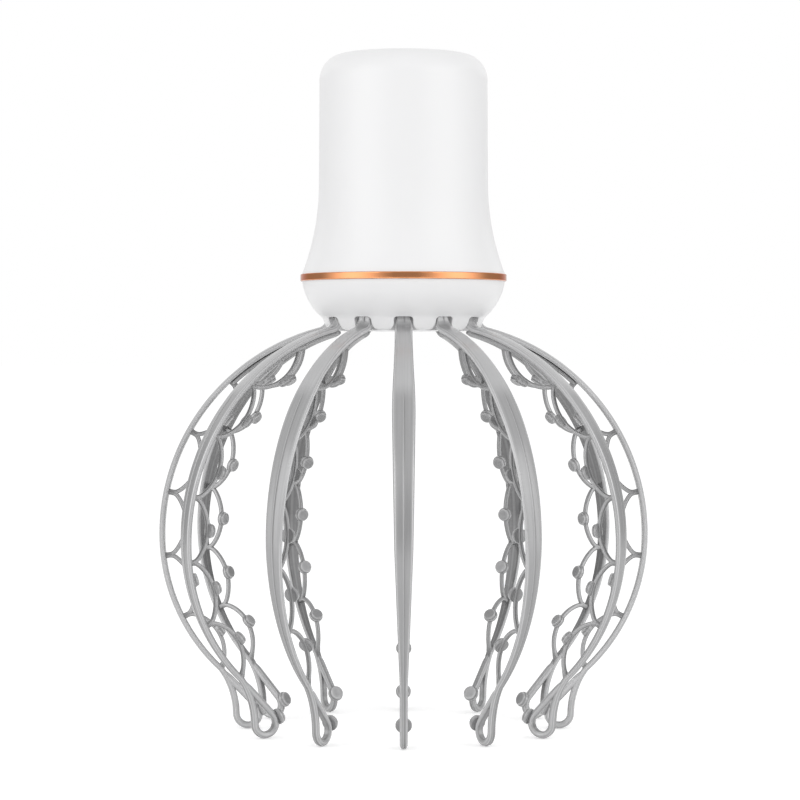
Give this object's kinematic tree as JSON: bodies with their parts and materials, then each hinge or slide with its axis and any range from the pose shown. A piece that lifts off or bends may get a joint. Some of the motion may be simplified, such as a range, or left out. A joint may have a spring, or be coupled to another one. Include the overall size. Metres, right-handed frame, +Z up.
{
  "type": "electric scalp massager",
  "caption": "Handheld vibrating scalp massager: a bell-shaped white grip with a copper trim ring on a cage of springy grey claws that carry small massage beads.",
  "frame": {"origin": "on the floor under the middle of the cage of claws", "axes": "+Z up along the grip, -Y towards the first claw, +Y towards the charging port"},
  "size_m": [0.176, 0.176, 0.2429],
  "materials": {
    "white_shell": "glossy injection-moulded white",
    "white_button": "satin moulded white",
    "copper_trim": "rose-gold plated, brushed round",
    "claw_grey": "satin grey flexible nylon",
    "white_inner": "plain moulded",
    "seal_rubber": "matte",
    "clear_band": "frosted clear",
    "black_plastic": "matte",
    "circuit_board": "green solder mask",
    "steel": "plated",
    "weight_brass": "turned",
    "battery_wrap": "shrink-wrapped cell"
  },
  "bodies": {
    "housing": {"upper_housing": "white_shell", "lower_housing": "white_shell", "trim_ring": "copper_trim", "bottom_cover": "white_shell", "claw_retainer": "white_inner", "seam_gasket": "seal_rubber", "light_ring": "clear_band", "switch_body": "black_plastic", "switch_board": "circuit_board", "main_board": "circuit_board", "charging_socket": "steel", "inner_frame": "white_inner", "motor_plate": "white_inner", "motor_can": "steel", "battery_cell": "battery_wrap", "battery_pad": "seal_rubber", "housing_screws": "steel", "cover_screws": "steel", "retainer_screws": "steel"},
    "button": {"power_button": "white_button", "switch_plunger": "black_plastic"},
    "rotor": {"motor_shaft": "steel", "eccentric_weight": "weight_brass"},
    "claw_01": {"claw_01": "claw_grey"},
    "claw_02": {"claw_02": "claw_grey"},
    "claw_03": {"claw_03": "claw_grey"},
    "claw_04": {"claw_04": "claw_grey"},
    "claw_05": {"claw_05": "claw_grey"},
    "claw_06": {"claw_06": "claw_grey"},
    "claw_07": {"claw_07": "claw_grey"},
    "claw_08": {"claw_08": "claw_grey"},
    "claw_09": {"claw_09": "claw_grey"},
    "claw_10": {"claw_10": "claw_grey"},
    "claw_11": {"claw_11": "claw_grey"},
    "claw_12": {"claw_12": "claw_grey"}
  },
  "joints": [
    {"name": "button_press", "type": "slide", "parent": "housing", "child": "button", "axis": [0, 0, -1], "range_m": [0, 0.0005], "stiffness_N_per_m": 3000, "springref_m": -0.0001},
    {"name": "rotor_spin", "type": "hinge", "parent": "housing", "child": "rotor", "pos_m": [0, 0, 0.155], "axis": [0, 0, 1], "continuous": true},
    {"name": "claw_01_flex", "type": "hinge", "parent": "housing", "child": "claw_01", "pos_m": [0, -0.02687, 0.1508], "axis": [-1, 0, 0], "range_deg": [-3, 10], "stiffness_Nm_per_rad": 1.2},
    {"name": "claw_02_flex", "type": "hinge", "parent": "housing", "child": "claw_02", "pos_m": [0.01344, -0.02327, 0.1508], "axis": [-0.866, -0.5, 0], "range_deg": [-3, 10], "stiffness_Nm_per_rad": 1.2},
    {"name": "claw_03_flex", "type": "hinge", "parent": "housing", "child": "claw_03", "pos_m": [0.02327, -0.01344, 0.1508], "axis": [-0.5, -0.866, 0], "range_deg": [-3, 10], "stiffness_Nm_per_rad": 1.2},
    {"name": "claw_04_flex", "type": "hinge", "parent": "housing", "child": "claw_04", "pos_m": [0.02687, 0, 0.1508], "axis": [0, -1, 0], "range_deg": [-3, 10], "stiffness_Nm_per_rad": 1.2},
    {"name": "claw_05_flex", "type": "hinge", "parent": "housing", "child": "claw_05", "pos_m": [0.02327, 0.01344, 0.1508], "axis": [0.5, -0.866, 0], "range_deg": [-3, 10], "stiffness_Nm_per_rad": 1.2},
    {"name": "claw_06_flex", "type": "hinge", "parent": "housing", "child": "claw_06", "pos_m": [0.01344, 0.02327, 0.1508], "axis": [0.866, -0.5, 0], "range_deg": [-3, 10], "stiffness_Nm_per_rad": 1.2},
    {"name": "claw_07_flex", "type": "hinge", "parent": "housing", "child": "claw_07", "pos_m": [0, 0.02687, 0.1508], "axis": [1, 0, 0], "range_deg": [-3, 10], "stiffness_Nm_per_rad": 1.2},
    {"name": "claw_08_flex", "type": "hinge", "parent": "housing", "child": "claw_08", "pos_m": [-0.01344, 0.02327, 0.1508], "axis": [0.866, 0.5, 0], "range_deg": [-3, 10], "stiffness_Nm_per_rad": 1.2},
    {"name": "claw_09_flex", "type": "hinge", "parent": "housing", "child": "claw_09", "pos_m": [-0.02327, 0.01344, 0.1508], "axis": [0.5, 0.866, 0], "range_deg": [-3, 10], "stiffness_Nm_per_rad": 1.2},
    {"name": "claw_10_flex", "type": "hinge", "parent": "housing", "child": "claw_10", "pos_m": [-0.02687, 0, 0.1508], "axis": [0, 1, 0], "range_deg": [-3, 10], "stiffness_Nm_per_rad": 1.2},
    {"name": "claw_11_flex", "type": "hinge", "parent": "housing", "child": "claw_11", "pos_m": [-0.02327, -0.01344, 0.1508], "axis": [-0.5, 0.866, 0], "range_deg": [-3, 10], "stiffness_Nm_per_rad": 1.2},
    {"name": "claw_12_flex", "type": "hinge", "parent": "housing", "child": "claw_12", "pos_m": [-0.01344, -0.02327, 0.1508], "axis": [-0.866, 0.5, 0], "range_deg": [-3, 10], "stiffness_Nm_per_rad": 1.2}
  ]
}
